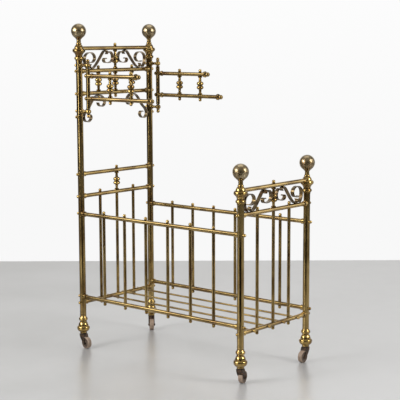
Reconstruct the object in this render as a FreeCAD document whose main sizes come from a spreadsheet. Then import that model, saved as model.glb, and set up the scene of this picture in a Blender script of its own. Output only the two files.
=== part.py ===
# Magazine rack in the form of a small brass half-tester bed: four bolted posts, a slatted
# basket between them, scrolled end panels, two curtain arms that swing, and four casters.
# +X runs from the tall head end to the low foot end, +Z is up, and the origin is on the floor
# below the middle of the four posts. Lengths are in millimetres.
import FreeCAD, Part
import math
import os

import Sketcher

# The driving dimensions: alias, value, what it is.
DIMENSIONS = [
    ("rack_length", 632.0, "between the post axes, head to foot"),
    ("rack_width", 314.0, "between the post axes, left to right"),
    ("post_radius", 10.0, "outside of the post tube"),
    ("post_wall", 1.2, "wall of the post tube"),
    ("rail_radius", 6.35, "outside of the rail tube"),
    ("rail_wall", 1.0, "wall of the rail tube"),
    ("rod_radius", 4.75, "upright rods of the basket"),
    ("floor_rod_radius", 3.0, "lengthwise rods of the basket floor"),
    ("tenon_radius", 2.5, "turned-down end of a rod, and the studs"),
    ("tenon_grip", 6.0, "length of a tenon inside its knob"),
    ("fit_gap", 0.05, "radial clearance of a fixed pin in its hole"),
    ("swing_gap", 0.3, "gap beside a piece that turns"),
    ("crest_height", 936.0, "axis of the topmost head rail"),
    ("end_height", 550.0, "axis of the upper rail of each end panel"),
    ("panel_height", 69.0, "between the two rails of a scrolled panel"),
    ("base_lift", 41.5, "top of a turned foot up to the bottom end rails"),
    ("side_drop", 55.0, "lower rail of an end panel down to the upper side rails"),
    ("side_lift", 18.5, "bottom end rails up to the lower side rails"),
    ("side_rod_count", 6, "upright rods in each side"),
    ("side_rod_margin", 97.7, "post axis to the nearest side rod"),
    ("end_rod_count", 3, "upright rods in each end"),
    ("end_rod_margin", 82.0, "post axis to the nearest end rod"),
    ("foot_offset", 6.5, "how far the foot rods stand left of the middle"),
    ("floor_rod_count", 4, "rods in the basket floor"),
    ("floor_rod_margin", 52.0, "post axis to the nearest floor rod"),
    ("knob_radius", 4.9, "acorn knobs and cap nuts"),
    ("knob_height", 10.0, "acorn knobs and cap nuts"),
    ("collar_wall", 2.0, "ring round a rail at its post"),
    ("collar_length", 6.5, "ring round a rail at its post"),
    ("plug_length", 12.0, "plug that a stud carries in a rail end"),
    ("bead_radius", 11.0, "fat beads of a turned spindle"),
    ("spindle_collar_radius", 7.0, "end rings of a turned spindle"),
    ("spigot_length", 9.0, "spigots in the post ends"),
    ("peg_length", 12.0, "peg in a ball"),
    ("casting_drop", 39.0, "rail axis down to the seat of a finial casting"),
    ("casting_height", 65.0, "seat of a finial casting to the ball"),
    ("casting_ring_radius", 20.0, "widest ring of a finial casting"),
    ("casting_bead_radius", 14.6, "small bead of a finial casting"),
    ("neck_radius", 6.8, "neck under the ball"),
    ("ball_radius", 23.2, "ball finial"),
    ("ball_spout", 7.5, "fillet under the ball"),
    ("caster_head", 12.0, "wheel top to the underside of a turned foot"),
    ("foot_height", 56.0, "turned foot, underside to post tube"),
    ("foot_ring_radius", 20.0, "widest ring of a turned foot"),
    ("wheel_radius", 18.0, "caster wheel"),
    ("wheel_width", 14.0, "caster wheel"),
    ("caster_trail", 16.0, "swivel axis to axle"),
    ("axle_radius", 2.4, "caster axle"),
    ("fork_wall", 2.2, "cheek of a caster fork"),
    ("stem_radius", 4.0, "caster stem"),
    ("stem_length", 26.0, "caster stem above its plate"),
    ("running_gap", 0.08, "radial clearance of a running fit"),
    ("arm_pivot_reach", 38.0, "post axis to the pivot of a swing arm"),
    ("arm_drop", 51.5, "crest rail down to the upper bracket of a swing arm"),
    ("arm_span", 140.0, "between the two brackets of a swing arm"),
    ("arm_rail_inset", 31.5, "upper bracket down to the upper arm rail"),
    ("arm_rail_spacing", 69.0, "between the two rails of a swing arm"),
    ("arm_reach_low", 271.0, "pivot to the tip of the lower arm rail"),
    ("arm_reach_high", 218.0, "pivot to the tip of the upper arm rail"),
    ("arm_spindle_near", 94.0, "pivot to the first arm spindle"),
    ("arm_spindle_far", 180.0, "pivot to the second arm spindle"),
    ("arm_tube_radius", 6.35, "pivot tube of a swing arm"),
    ("arm_rail_radius", 6.2, "rails of a swing arm"),
    ("pivot_radius", 3.0, "pivot pin of a swing arm"),
    ("bracket_ball_radius", 8.5, "ball round the pivot pin"),
    ("strap_width", 12.0, "scrolled strap, along X"),
    ("strap_thickness", 2.2, "scrolled strap"),
    ("strap_play", 0.25, "above and below a strap that is held under a rail"),
    ("corner_standoff", 16.0, "post axis to the corner scroll at its bolt"),
    ("corner_drop", 81.5, "corner scroll, below the rail"),
]

doc = FreeCAD.newDocument("MagazineRack")
sheet = doc.addObject("Spreadsheet::Sheet", "Sizes")
for row, (alias, value, note) in enumerate(DIMENSIONS, start=1):
    sheet.set(f"A{row}", note)
    sheet.set(f"B{row}", str(value))
    sheet.setAlias(f"B{row}", alias)
doc.recompute()


# A length knows its value, for drawing, and its formula, which the document keeps.
class Length:
    def __init__(self, value, formula):
        self.value = float(value)
        self.formula = formula

    def __add__(self, other):
        other = as_length(other)
        return Length(self.value + other.value, f"({self.formula} + {other.formula})")

    def __sub__(self, other):
        other = as_length(other)
        return Length(self.value - other.value, f"({self.formula} - {other.formula})")

    def __mul__(self, other):
        other = as_length(other)
        return Length(self.value * other.value, f"({self.formula} * {other.formula})")

    def __truediv__(self, other):
        other = as_length(other)
        return Length(self.value / other.value, f"({self.formula} / {other.formula})")

    def __neg__(self):
        return self * -1


def as_length(number):
    return number if isinstance(number, Length) else Length(number, f"({number})")


def size(alias):
    return Length(sheet.get(alias), f"Sizes.{alias}")


# Directions that a piece can point along, as turns of the Z axis.
POINTING = {
    "+Z": FreeCAD.Rotation(FreeCAD.Vector(1, 0, 0), 0),
    "-Z": FreeCAD.Rotation(FreeCAD.Vector(1, 0, 0), 180),
    "+X": FreeCAD.Rotation(FreeCAD.Vector(0, 1, 0), 90),
    "-X": FreeCAD.Rotation(FreeCAD.Vector(0, 1, 0), -90),
    "+Y": FreeCAD.Rotation(FreeCAD.Vector(1, 0, 0), -90),
    "-Y": FreeCAD.Rotation(FreeCAD.Vector(1, 0, 0), 90),
}


def place(piece, at, pointing="+Z"):
    """Turn a piece along a direction and bind its position to formulas."""
    piece.Placement = FreeCAD.Placement(FreeCAD.Vector(0, 0, 0), POINTING[pointing])
    for axis, length in zip("xyz", at):
        piece.setExpression(f"Placement.Base.{axis}", as_length(length).formula)
    return piece


def cylinder(name, radius, length, at=(0, 0, 0), pointing="+Z"):
    piece = doc.addObject("Part::Cylinder", name)
    piece.setExpression("Radius", radius.formula)
    piece.setExpression("Height", length.formula)
    return place(piece, at, pointing)


def group(name, pieces):
    """Several solids that stay separate."""
    piece = doc.addObject("Part::Compound", name)
    piece.Links = pieces
    return piece


def fuse(name, pieces):
    piece = doc.addObject("Part::MultiFuse", name)
    piece.Shapes = pieces
    return piece


def cut(name, base, tool):
    piece = doc.addObject("Part::Cut", name)
    piece.Base = base
    piece.Tool = tool
    return piece


def arc_middle(start, end, radius):
    """Middle of the short arc between two points; a positive radius swells to the right."""
    chord = end - start
    half = chord.Length / 2
    sagitta = abs(radius) - math.sqrt(radius ** 2 - half ** 2)
    right = FreeCAD.Vector(chord.y, -chord.x, 0).normalize()
    return (start + end) * 0.5 + right * math.copysign(sagitta, radius)


def draw(sketch, outline):
    """Draw a closed outline of (across, up) points and bind every point to its formula.

    A third value makes the edge that arrives at the point an arc of that radius."""
    points = [[as_length(number) for number in point] for point in outline]
    corners = [FreeCAD.Vector(point[0].value, point[1].value, 0) for point in points]
    edges = []
    for index, point in enumerate(points):
        before, here = corners[index - 1], corners[index]
        if len(point) == 3:
            middle = arc_middle(before, here, point[2].value)
            edges.append(sketch.addGeometry(Part.Arc(before, middle, here), False))
        else:
            edges.append(sketch.addGeometry(Part.LineSegment(before, here), False))
    # An arc can be stored back to front, so each edge's ends are looked up.
    ends = []
    for edge, before in zip(edges, corners[-1:] + corners[:-1]):
        forward = sketch.getPoint(edge, 1).distanceToPoint(before) < 1e-6
        ends.append((1, 2) if forward else (2, 1))
    rules, formulas = [], []
    for index, (edge, point) in enumerate(zip(edges, points)):
        following = (index + 1) % len(edges)
        last, first = ends[index][1], ends[following][0]
        rules.append(Sketcher.Constraint("Coincident", edge, last, edges[following], first))
        formulas.append(None)
        for kind, axis, length in (("DistanceX", -2, point[0]), ("DistanceY", -1, point[1])):
            if length.value == 0:
                rules.append(Sketcher.Constraint("PointOnObject", edge, last, axis))
                formulas.append(None)
            else:
                rules.append(Sketcher.Constraint(kind, -1, 1, edge, last, length.value))
                formulas.append(length.formula)
        if len(point) == 3:
            rules.append(Sketcher.Constraint("Radius", edge, abs(point[2].value)))
            formulas.append(f"abs({point[2].formula})")
    sketch.addConstraint(rules)
    for index, formula in enumerate(formulas):
        if formula:
            sketch.setExpression(f"Constraints[{index}]", formula)


def turned(name, outline, at=(0, 0, 0), pointing="+Z", row=None):
    """A piece turned on a lathe; row=(axis, count, pitch) repeats it in a straight row."""
    body = doc.addObject("PartDesign::Body", name)
    body.AllowCompound = True
    origin = {feature.Role: feature for feature in body.Origin.OriginFeatures}
    sketch = body.newObject("Sketcher::SketchObject", name + "_outline")
    sketch.AttachmentSupport = [(origin["XZ_Plane"], "")]
    sketch.MapMode = "FlatFace"
    draw(sketch, outline)
    turning = body.newObject("PartDesign::Revolution", name + "_turning")
    turning.Profile = sketch
    turning.ReferenceAxis = (sketch, ["V_Axis"])
    turning.Angle = 360
    body.Tip = turning
    if row:
        axis, count, pitch = row
        doc.recompute()
        pattern = body.newObject("PartDesign::LinearPattern", name + "_row")
        pattern.Originals = [turning]
        pattern.Direction = (origin[axis + "_Axis"], [""])
        pattern.setExpression("Length", (pitch * (count - 1)).formula)
        pattern.setExpression("Occurrences", count.formula)
        body.Tip = pattern
    return place(body, at, pointing)


nodes = {}


def keep(label, piece):
    """Name a finished sub-part; its label is its file's name."""
    piece.Label = label
    nodes[label] = piece
    return piece


# Sizes that many pieces share.
half_length = size("rack_length") / 2
half_width = size("rack_width") / 2
post_radius = size("post_radius")
rail_radius = size("rail_radius")
tenon_radius = size("tenon_radius")
tenon_grip = size("tenon_grip")
fit_gap = size("fit_gap")
swing_gap = size("swing_gap")
hole_radius = tenon_radius + fit_gap
panel_height = size("panel_height")
crest = size("crest_height")
frieze = crest - panel_height
shoulder = frieze - panel_height
end_top = size("end_height")
end_low = end_top - panel_height
wheel_radius = size("wheel_radius")
foot_bottom = wheel_radius * 2 + size("caster_head")
foot_top = foot_bottom + size("foot_height")
end_base = foot_top + size("base_lift")
side_top = end_low - size("side_drop")
side_base = end_base + size("side_lift")
bracket_high = crest - size("arm_drop")
bracket_low = bracket_high - size("arm_span")
# A corner scroll is bolted to its post low down, and its crest is held under the shoulder rail
# by an outer knob, so the places of the bolt and the knob set its size.
CORNER_BOLT_DOWN, CORNER_KNOB_ALONG = 0.79, 0.725
corner_bolt = shoulder - rail_radius - size("corner_drop") * CORNER_BOLT_DOWN

# Each corner: which way it lies from the middle, its top rail, and the rest of its end rails.
CORNERS = {
    "head_left": (-1, -1, crest, [frieze, shoulder, end_top, end_low, end_base]),
    "head_right": (-1, 1, crest, [frieze, shoulder, end_top, end_low, end_base]),
    "foot_left": (1, -1, end_top, [end_low, end_base]),
    "foot_right": (1, 1, end_top, [end_low, end_base]),
}


def corner_axis(corner):
    along, across = CORNERS[corner][:2]
    return half_length * along, half_width * across


# Lathe outlines, from the axis or the bore outwards and up.
def knob_outline(bore, radius, height):
    """An acorn knob or cap nut: a waisted skirt, a dome, and a blind hole in its base."""
    skirt = height - radius
    return [
        (bore, 0), (radius, 0), (radius, skirt * 0.3), (radius * 0.86, skirt * 0.5),
        (radius, skirt), (0, height, radius), (0, tenon_grip), (bore, tenon_grip),
    ]


def rod_outline(low, high):
    """An upright rod with a tenon through the rail at each end, drawn from the floor up."""
    radius = size("rod_radius")
    below = low - rail_radius
    above = high + rail_radius
    return [
        (0, below - tenon_grip), (tenon_radius, below - tenon_grip),
        (tenon_radius, low + rail_radius), (radius, low + rail_radius),
        (radius, high - rail_radius), (tenon_radius, high - rail_radius),
        (tenon_radius, above + tenon_grip), (0, above + tenon_grip),
    ]


def spindle_outline(clear, across_rail, socket=False, washer=0):
    """A turned spindle between two rails. Its top tenon passes the upper rail, and its foot is
    either a socket for the tenon from below or a tenon of its own, which a washer lengthens."""
    bead, ring = size("bead_radius"), size("spindle_collar_radius")
    waist, neck, ring_length, bulge = bead * 0.42, bead * 0.36, clear * 0.055, clear * 0.12
    swell = [
        (ring, ring_length), (neck, ring_length * 1.6), (waist, clear * 0.27),
        (bead, clear * 0.37, bulge), (waist * 1.35, clear * 0.485, bulge),
        (bead, clear * 0.60, bulge), (waist, clear * 0.71, bulge),
        (neck, clear - ring_length * 1.8), (ring, clear - ring_length), (ring, clear),
        (tenon_radius, clear), (tenon_radius, clear + across_rail + tenon_grip),
        (0, clear + across_rail + tenon_grip),
    ]
    if socket:
        return [(0, tenon_grip), (hole_radius, tenon_grip), (hole_radius, 0), (ring, 0)] + swell
    end = -(across_rail + washer + tenon_grip)
    return [(0, end), (tenon_radius, end), (tenon_radius, 0), (ring, 0)] + swell


# Posts: tubes between the turned foot and the finial casting, drilled for every stud.
post_solids = {}
for corner, (along, across, top, lower_rails) in CORNERS.items():
    x, y = corner_axis(corner)
    seat = top - size("casting_drop")
    tube = cylinder(f"post_{corner}_tube", post_radius, seat - foot_top, (x, y, foot_top))
    bore = cylinder(f"post_{corner}_bore", post_radius - size("post_wall"), seat - foot_top,
                    (x, y, foot_top))
    holes = [bore]
    for number, height in enumerate(lower_rails):
        holes.append(cylinder(f"post_{corner}_cross_{number}", hole_radius, post_radius * 4,
                              (x, y - post_radius * 2, height), "+Y"))
    lengthwise = [side_top, side_base]
    if along < 0:
        lengthwise += [bracket_low, bracket_high]
        holes.append(cylinder(f"post_{corner}_scroll_hole", hole_radius, post_radius * 4,
                              (x, y - post_radius * 2, corner_bolt), "+Y"))
    for number, height in enumerate(lengthwise):
        holes.append(cylinder(f"post_{corner}_long_{number}", hole_radius, post_radius * 4,
                              (x - post_radius * 2, y, height), "+X"))
    keep(f"post_{corner}", cut(f"post_{corner}_drilled", tube, fuse(f"post_{corner}_holes", holes)))
    # The whole outside of the post is the tool that saddles what butts against it.
    post_solids[corner] = cylinder(f"post_{corner}_outside", post_radius, seat, (x, y, 0))


# Finial castings: bead, cove, ring and bell, with a spigot in the post and a peg in the ball.
def casting_outline():
    spigot = post_radius - size("post_wall") - fit_gap
    depth, peg, cove = size("spigot_length"), size("peg_length"), post_radius + 1
    ring, bead = size("casting_ring_radius"), size("casting_bead_radius")
    ring_middle = size("casting_drop") - 6.5
    top, neck = size("casting_height"), size("neck_radius")
    return [
        (0, -depth), (spigot, -depth), (spigot, 0), (cove, 0), (cove, 3.5),
        (bead, 9, 6.5), (cove, 14.5, 6.5), (cove, 17), (ring - 3, ring_middle - 6, -15),
        (ring - 3, ring_middle + 6, 7.5), (ring - 5.5, ring_middle + 6.8),
        (neck + 2.6, top - 15.5, 18), (neck + 1, top - 14.5), (neck + 1, top - 10, 2.8), (neck, top - 8.5),
        (neck, top), (tenon_radius, top), (tenon_radius, top + peg), (0, top + peg),
    ]


castings = []
casting_tools = {}
for corner, (along, across, top, lower_rails) in CORNERS.items():
    x, y = corner_axis(corner)
    seat = top - size("casting_drop")
    body = turned(f"casting_{corner}", casting_outline(), (x, y, seat))
    casting_tools[corner] = body
    inward = "-Y" if across > 0 else "+Y"
    hole = cylinder(f"casting_{corner}_hole", hole_radius, size("casting_ring_radius") * 1.5,
                    (x, y - tenon_radius * across, top), inward)
    castings.append(cut(f"casting_{corner}_drilled", body, hole))
keep("finial_castings", group("castings", castings))


# Ball finials: a ball on a filleted spout, pegged by the casting. The spout meets the ball at a
# 3-4-5 point: 0.6 of its radius out and 0.8 down.
def ball_outline():
    ball, neck, spout = size("ball_radius"), size("neck_radius"), size("ball_spout")
    centre = ball * 0.8 + spout
    depth = size("peg_length") + 0.5
    return [
        (0, depth), (hole_radius, depth), (hole_radius, 0), (neck, 0), (ball * 0.6, spout, -31),
        (ball, centre, ball), (0, centre + ball, ball),
    ]


balls = []
for corner, (along, across, top, lower_rails) in CORNERS.items():
    x, y = corner_axis(corner)
    seat = top - size("casting_drop") + size("casting_height")
    balls.append(turned(f"ball_{corner}", ball_outline(), (x, y, seat)))
keep("ball_finials", group("balls", balls))


# Turned feet: a ring and a bead below the post, bored for the caster stem.
def foot_outline():
    spigot = post_radius - size("post_wall") - fit_gap
    socket = size("stem_radius") + size("running_gap")
    depth = size("stem_length") + 2
    ring, height = size("foot_ring_radius"), size("foot_height")
    belly, toe = height * 0.3, size("stem_radius") + 7
    cove, bead = post_radius + 0.5, post_radius + 4
    return [
        (0, depth), (socket, depth), (socket, 0), (toe, 0), (toe, 3.5), (ring, belly, 13),
        (ring - 2.5, belly + 5, 7), (ring - 4.5, belly + 6), (cove + 0.3, height * 0.62, 18),
        (cove, height * 0.68), (bead, height * 0.79, 7), (bead - 1.5, height * 0.86, 5),
        (post_radius, height * 0.95, -14), (post_radius, height),
        (spigot, height), (spigot, height + size("spigot_length")), (0, height + size("spigot_length")),
    ]


for corner in CORNERS:
    x, y = corner_axis(corner)
    keep(f"turned_foot_{corner}", turned(f"foot_{corner}", foot_outline(), (x, y, foot_bottom)))


# Rails: tubes saddled to the posts, and bored across where the rods pass.
def drilled_rail(label, start, length, pointing, cutters):
    outside = cylinder(label + "_outside", rail_radius, length, start, pointing)
    bore = cylinder(label + "_bore", rail_radius - size("rail_wall"), length, start, pointing)
    return keep(label, cut(label + "_drilled", outside, fuse(label + "_cutters", [bore] + cutters)))


def cross_hole(name, x, y, z):
    return cylinder(name, hole_radius, rail_radius * 4, (x, y, z - rail_radius * 2))


end_rod_count = size("end_rod_count")
floor_rod_count = size("floor_rod_count")
side_rod_count = size("side_rod_count")
side_rod_pitch = (size("rack_length") - size("side_rod_margin") * 2) / (side_rod_count - 1)
end_rod_pitch = (size("rack_width") - size("end_rod_margin") * 2) / (end_rod_count - 1)
floor_rod_pitch = (size("rack_width") - size("floor_rod_margin") * 2) / (floor_rod_count - 1)


def even_places(middle, count, pitch):
    """Evenly spaced places about a middle."""
    first = middle - pitch * (count - 1) / 2
    return [first + pitch * number for number in range(int(count.value))]


floor_rod_places = even_places(as_length(0), floor_rod_count, floor_rod_pitch)
side_rod_places = even_places(as_length(0), side_rod_count, side_rod_pitch)
end_rails = {"panel_top": end_top, "panel_low": end_low, "base": end_base}
head_rails = {"crest": crest, "frieze": frieze, "shoulder": shoulder}
# Each end: which way it lies, the middle of its rods, its rails, and the rail that the castings hold.
ENDS = {
    "head": (-1, as_length(0), head_rails | end_rails, "crest"),
    "foot": (1, -size("foot_offset"), end_rails, "panel_top"),
}
for end, (along, middle, rails, cast_rail) in ENDS.items():
    x = half_length * along
    for rail, height in rails.items():
        label = f"{end}_rail_{rail}"
        sockets = casting_tools if rail == cast_rail else post_solids
        cutters = [sockets[f"{end}_left"], sockets[f"{end}_right"]]
        places = even_places(middle, end_rod_count, end_rod_pitch)
        if rail in ("crest", "panel_top"):
            places = [middle]
        for number, y in enumerate(places):
            cutters.append(cross_hole(f"{label}_hole_{number}", x, y, height))
        if rail == "base":
            for number, y in enumerate(floor_rod_places):
                cutters.append(cylinder(f"{label}_floor_hole_{number}",
                                        size("floor_rod_radius") + fit_gap, rail_radius * 4,
                                        (x - rail_radius * 2, y, height), "+X"))
        drilled_rail(label, (x, -half_width, height), size("rack_width"), "+Y", cutters)

for side, across in (("left", -1), ("right", 1)):
    y = half_width * across
    for rail, height in (("top", side_top), ("base", side_base)):
        label = f"side_rail_{rail}_{side}"
        cutters = [post_solids[f"head_{side}"], post_solids[f"foot_{side}"]]
        for number, x in enumerate(side_rod_places):
            cutters.append(cross_hole(f"{label}_hole_{number}", x, y, height))
        drilled_rail(label, (-half_length, y, height), size("rack_length"), "+X", cutters)

# Upright rods of the basket and the acorn knobs on their tenons.
knob = knob_outline(hole_radius, size("knob_radius"), size("knob_height"))
side_knobs = []
for side, across in (("left", -1), ("right", 1)):
    first, y = side_rod_places[0], half_width * across
    row = ("X", side_rod_count, side_rod_pitch)
    rods = turned(f"rods_{side}", rod_outline(side_base, side_top), (first, y, 0), row=row)
    keep(f"side_rods_{side}", rods)
    side_knobs.append(turned(f"knobs_{side}_top", knob, (first, y, side_top + rail_radius), row=row))
    for number, x in enumerate(side_rod_places):
        side_knobs.append(turned(f"knob_{side}_low_{number}", knob, (x, y, side_base - rail_radius), "-Z"))
keep("side_knobs", group("side_knob_set", side_knobs))

for end, (along, middle, rails, cast_rail) in ENDS.items():
    x = half_length * along
    places = even_places(middle, end_rod_count, end_rod_pitch)
    row = ("Y", end_rod_count, end_rod_pitch)
    keep(f"{end}_rods", turned(f"rods_{end}", rod_outline(end_base, end_low), (x, places[0], 0), row=row))
    knobs = []
    centre = len(places) // 2
    for number, y in enumerate(places):
        knobs.append(turned(f"knob_{end}_base_{number}", knob, (x, y, end_base - rail_radius), "-Z"))
        if number != centre:
            knobs.append(turned(f"knob_{end}_low_{number}", knob, (x, y, end_low + rail_radius)))
    knobs.append(turned(f"knob_{end}_top", knob, (x, middle, end_top + rail_radius)))
    # The middle rod goes on as a turned spindle; the head has a second, taller group.
    clear = panel_height - rail_radius * 2
    on_tenon = spindle_outline(clear, rail_radius * 2, socket=True)
    spindles = [turned(f"spindle_{end}_panel", on_tenon, (x, middle, end_low + rail_radius))]
    if end == "head":
        for number, y in enumerate(places):
            # The outer tenons also pass through the crest of a corner scroll.
            washer = as_length(0) if number == centre else size("strap_thickness") + size("strap_play") * 2
            with_tenon = spindle_outline(clear, rail_radius * 2, washer=washer)
            below = (x, y, shoulder - rail_radius - washer)
            spindles.append(turned(f"spindle_frieze_{number}", with_tenon, (x, y, shoulder + rail_radius)))
            knobs.append(turned(f"knob_shoulder_{number}", knob, below, "-Z"))
            if number != centre:
                knobs.append(turned(f"knob_frieze_{number}", knob, (x, y, frieze + rail_radius)))
        spindles.append(turned("spindle_crest", on_tenon, (x, middle, frieze + rail_radius)))
        knobs.append(turned("knob_crest", knob, (x, middle, crest + rail_radius)))
    keep(f"{end}_spindles", group(f"{end}_spindle_set", spindles))
    keep(f"{end}_knobs", group(f"{end}_knob_set", knobs))

# Floor rods run the length of the basket through both bottom end rails, with nuts outside.
outer_face = half_length + rail_radius
floor_rods, floor_nuts = [], []
nut_radius, nut_height, nut_depth = size("knob_radius"), size("tenon_grip"), size("tenon_grip") * 0.7
floor_hole = size("floor_rod_radius") + fit_gap
floor_nut = [(floor_hole, 0), (nut_radius, 0), (nut_radius, nut_height), (0, nut_height),
             (0, nut_depth), (floor_hole, nut_depth)]
for number, y in enumerate(floor_rod_places):
    floor_rods.append(cylinder(f"floor_rod_{number}", size("floor_rod_radius"), (outer_face + nut_depth) * 2,
                               (-(outer_face + nut_depth), y, end_base), "+X"))
    floor_nuts.append(turned(f"floor_nut_head_{number}", floor_nut, (-outer_face, y, end_base), "-X"))
    floor_nuts.append(turned(f"floor_nut_foot_{number}", floor_nut, (outer_face, y, end_base), "+X"))
keep("floor_rods", group("floor_rod_set", floor_rods))
keep("floor_rod_nuts", group("floor_nut_set", floor_nuts))

# Bolted rail ends: a plug and stud in the rail, a collar round it, a cap nut outside the post.
plug_radius = rail_radius - size("rail_wall") - fit_gap
plug_start = post_radius + 1
nut_seat = post_radius * 0.86
collar_seat = post_radius * 0.45
collar_radius = rail_radius + size("collar_wall")
collar_length = size("collar_length") + post_radius - collar_seat
studs, nuts, collars = [], [], []
OPPOSITE = {"+X": "-X", "-X": "+X", "+Y": "-Y", "-Y": "+Y"}


def step_from(place_xy, inward, distance, height):
    """A point at a distance from a post axis, along an inward direction."""
    x, y = place_xy
    sign = 1 if inward[0] == "+" else -1
    if inward[1] == "X":
        return x + distance * sign, y, height
    return x, y + distance * sign, height


def stud_outline(outside):
    """A stud that starts a distance outside the post axis and ends in the rail's plug."""
    step = outside + plug_start
    end = step + size("plug_length")
    return [(0, 0), (tenon_radius, 0), (tenon_radius, step), (plug_radius, step), (plug_radius, end),
            (0, end)]


def bolt_rail(name, place_xy, inward, height):
    outward = OPPOSITE[inward]
    outside = nut_seat + tenon_grip
    stud_start = step_from(place_xy, inward, -outside, height)
    studs.append(turned(name + "_stud", stud_outline(outside), stud_start, inward))
    nuts.append(turned(name + "_nut", knob, step_from(place_xy, outward, nut_seat, height), outward))
    ring = [(rail_radius + fit_gap, 0), (collar_radius, 0), (collar_radius, collar_length),
            (rail_radius + fit_gap, collar_length)]
    collars.append(turned(name + "_collar", ring, step_from(place_xy, inward, collar_seat, height), inward))


for corner, (along, across, top, lower_rails) in CORNERS.items():
    here = corner_axis(corner)
    inward_x = "-X" if along > 0 else "+X"
    inward_y = "-Y" if across > 0 else "+Y"
    for number, height in enumerate(lower_rails):
        bolt_rail(f"joint_{corner}_end_{number}", here, inward_y, height)
    for number, height in enumerate((side_top, side_base)):
        bolt_rail(f"joint_{corner}_side_{number}", here, inward_x, height)
    # The top rail's stud screws into the casting and has no nut.
    reach = size("casting_ring_radius") + 4 - tenon_radius
    peg = [(0, 0), (tenon_radius, 0), (tenon_radius, reach), (plug_radius, reach),
           (plug_radius, reach + size("plug_length")), (0, reach + size("plug_length"))]
    studs.append(turned(f"joint_{corner}_peg", peg, step_from(here, inward_y, tenon_radius, top), inward_y))
    if along < 0:
        # The corner scroll's bolt and the two bracket nuts.
        outward_y = OPPOSITE[inward_y]
        outside = nut_seat + tenon_grip
        length = outside + size("corner_standoff") - size("strap_thickness")
        bolt = [(0, 0), (tenon_radius, 0), (tenon_radius, length), (0, length)]
        studs.append(turned(f"scroll_bolt_{corner}", bolt,
                            step_from(here, inward_y, -outside, corner_bolt), inward_y))
        nuts.append(turned(f"scroll_nut_{corner}", knob,
                           step_from(here, outward_y, nut_seat, corner_bolt), outward_y))
        for number, height in enumerate((bracket_low, bracket_high)):
            nuts.append(turned(f"bracket_nut_{corner}_{number}", knob,
                               step_from(here, "-X", nut_seat, height), "-X"))
all_posts = group("all_posts", list(post_solids.values()))
keep("rail_studs", group("stud_set", studs))
keep("cap_nuts", cut("nuts_saddled", group("nut_set", nuts), all_posts))
keep("rail_collars", cut("collars_saddled", group("collar_set", collars), all_posts))


# Scrolled straps: flat bar bent on edge, following a smooth line through a few points.
def strap(name, x, points):
    """A flat strap whose middle line lies at x, through (y, z) points."""
    width, thickness = size("strap_width").value, size("strap_thickness").value
    line = Part.BSplineCurve()
    line.interpolate([FreeCAD.Vector(x - width / 2, y, z) for y, z in points])
    steps = 4 * (len(points) - 1)
    sides = ([], [])
    for step in range(steps + 1):
        place_on = line.FirstParameter + (line.LastParameter - line.FirstParameter) * step / steps
        centre = line.value(place_on)
        tangent = FreeCAD.Vector(*line.tangent(place_on)[0])
        normal = FreeCAD.Vector(0, -tangent.z, tangent.y).normalize() * (thickness / 2)
        sides[0].append(centre + normal)
        sides[1].append(centre - normal)
    edges = []
    for side in sides:
        curve = Part.BSplineCurve()
        curve.interpolate(side)
        edges.append(curve.toShape())
    edges.append(Part.makeLine(sides[0][0], sides[1][0]))
    edges.append(Part.makeLine(sides[0][-1], sides[1][-1]))
    face = Part.Face(Part.Wire(Part.__sortEdges__(edges)))
    piece = doc.addObject("Part::Feature", name)
    piece.Shape = face.extrude(FreeCAD.Vector(width, 0, 0))
    return piece


# The three scrolls of a half panel. Across runs 0 at the spindle to 1 near the post, and up
# runs 0 at the lower rail to 1 at the upper rail. A knob stands under the diagonal, so its
# place across is given too, and the scrolls on either side of it stretch with their own span.
PANEL_KNOB_ALONG = 0.4941
PANEL_SCROLLS = {
    "hook": [(0.875, 0.0), (0.94, 0.23), (0.96, 0.47), (0.94, 0.71), (0.86, 0.86), (0.758, 0.895),
             (0.656, 0.785), (0.617, 0.58), (0.656, 0.40), (0.742, 0.316), (0.836, 0.36)],
    "diagonal": [(0.758, 0.215), (0.789, 0.14), (0.766, 0.04), (0.703, 0.0), (0.615, 0.12), (0.484, 0.454),
                 (0.36, 0.822), (0.305, 0.955), (0.258, 1.0), (0.205, 0.955), (0.19, 0.87), (0.22, 0.80)],
    "inner": [(0.15, 0.877), (0.094, 0.93), (0.03, 0.82), (0.0, 0.60), (0.02, 0.43), (0.094, 0.32),
              (0.203, 0.288), (0.289, 0.343), (0.3125, 0.463), (0.273, 0.555), (0.235, 0.52)],
}
# The corner scroll. Across runs 0 at its bolt to 1 at its outer curl, down 0 at the rail to 1.
CORNER_SCROLL = [
    (0.21, 0.75), (0.297, 0.735), (0.346, 0.83), (0.297, 0.94), (0.148, 1.0), (0.03, 0.92),
    (0.0, CORNER_BOLT_DOWN), (0.05, 0.66), (0.20, 0.50), (0.35, 0.29), (0.49, 0.10), (0.60, 0.022),
    (0.67, 0.0), (CORNER_KNOB_ALONG, 0.0), (0.78, 0.0), (0.86, 0.035), (0.96, 0.14), (1.0, 0.27),
    (0.956, 0.388), (0.846, 0.437), (0.72, 0.385), (0.68, 0.28),
]


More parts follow.
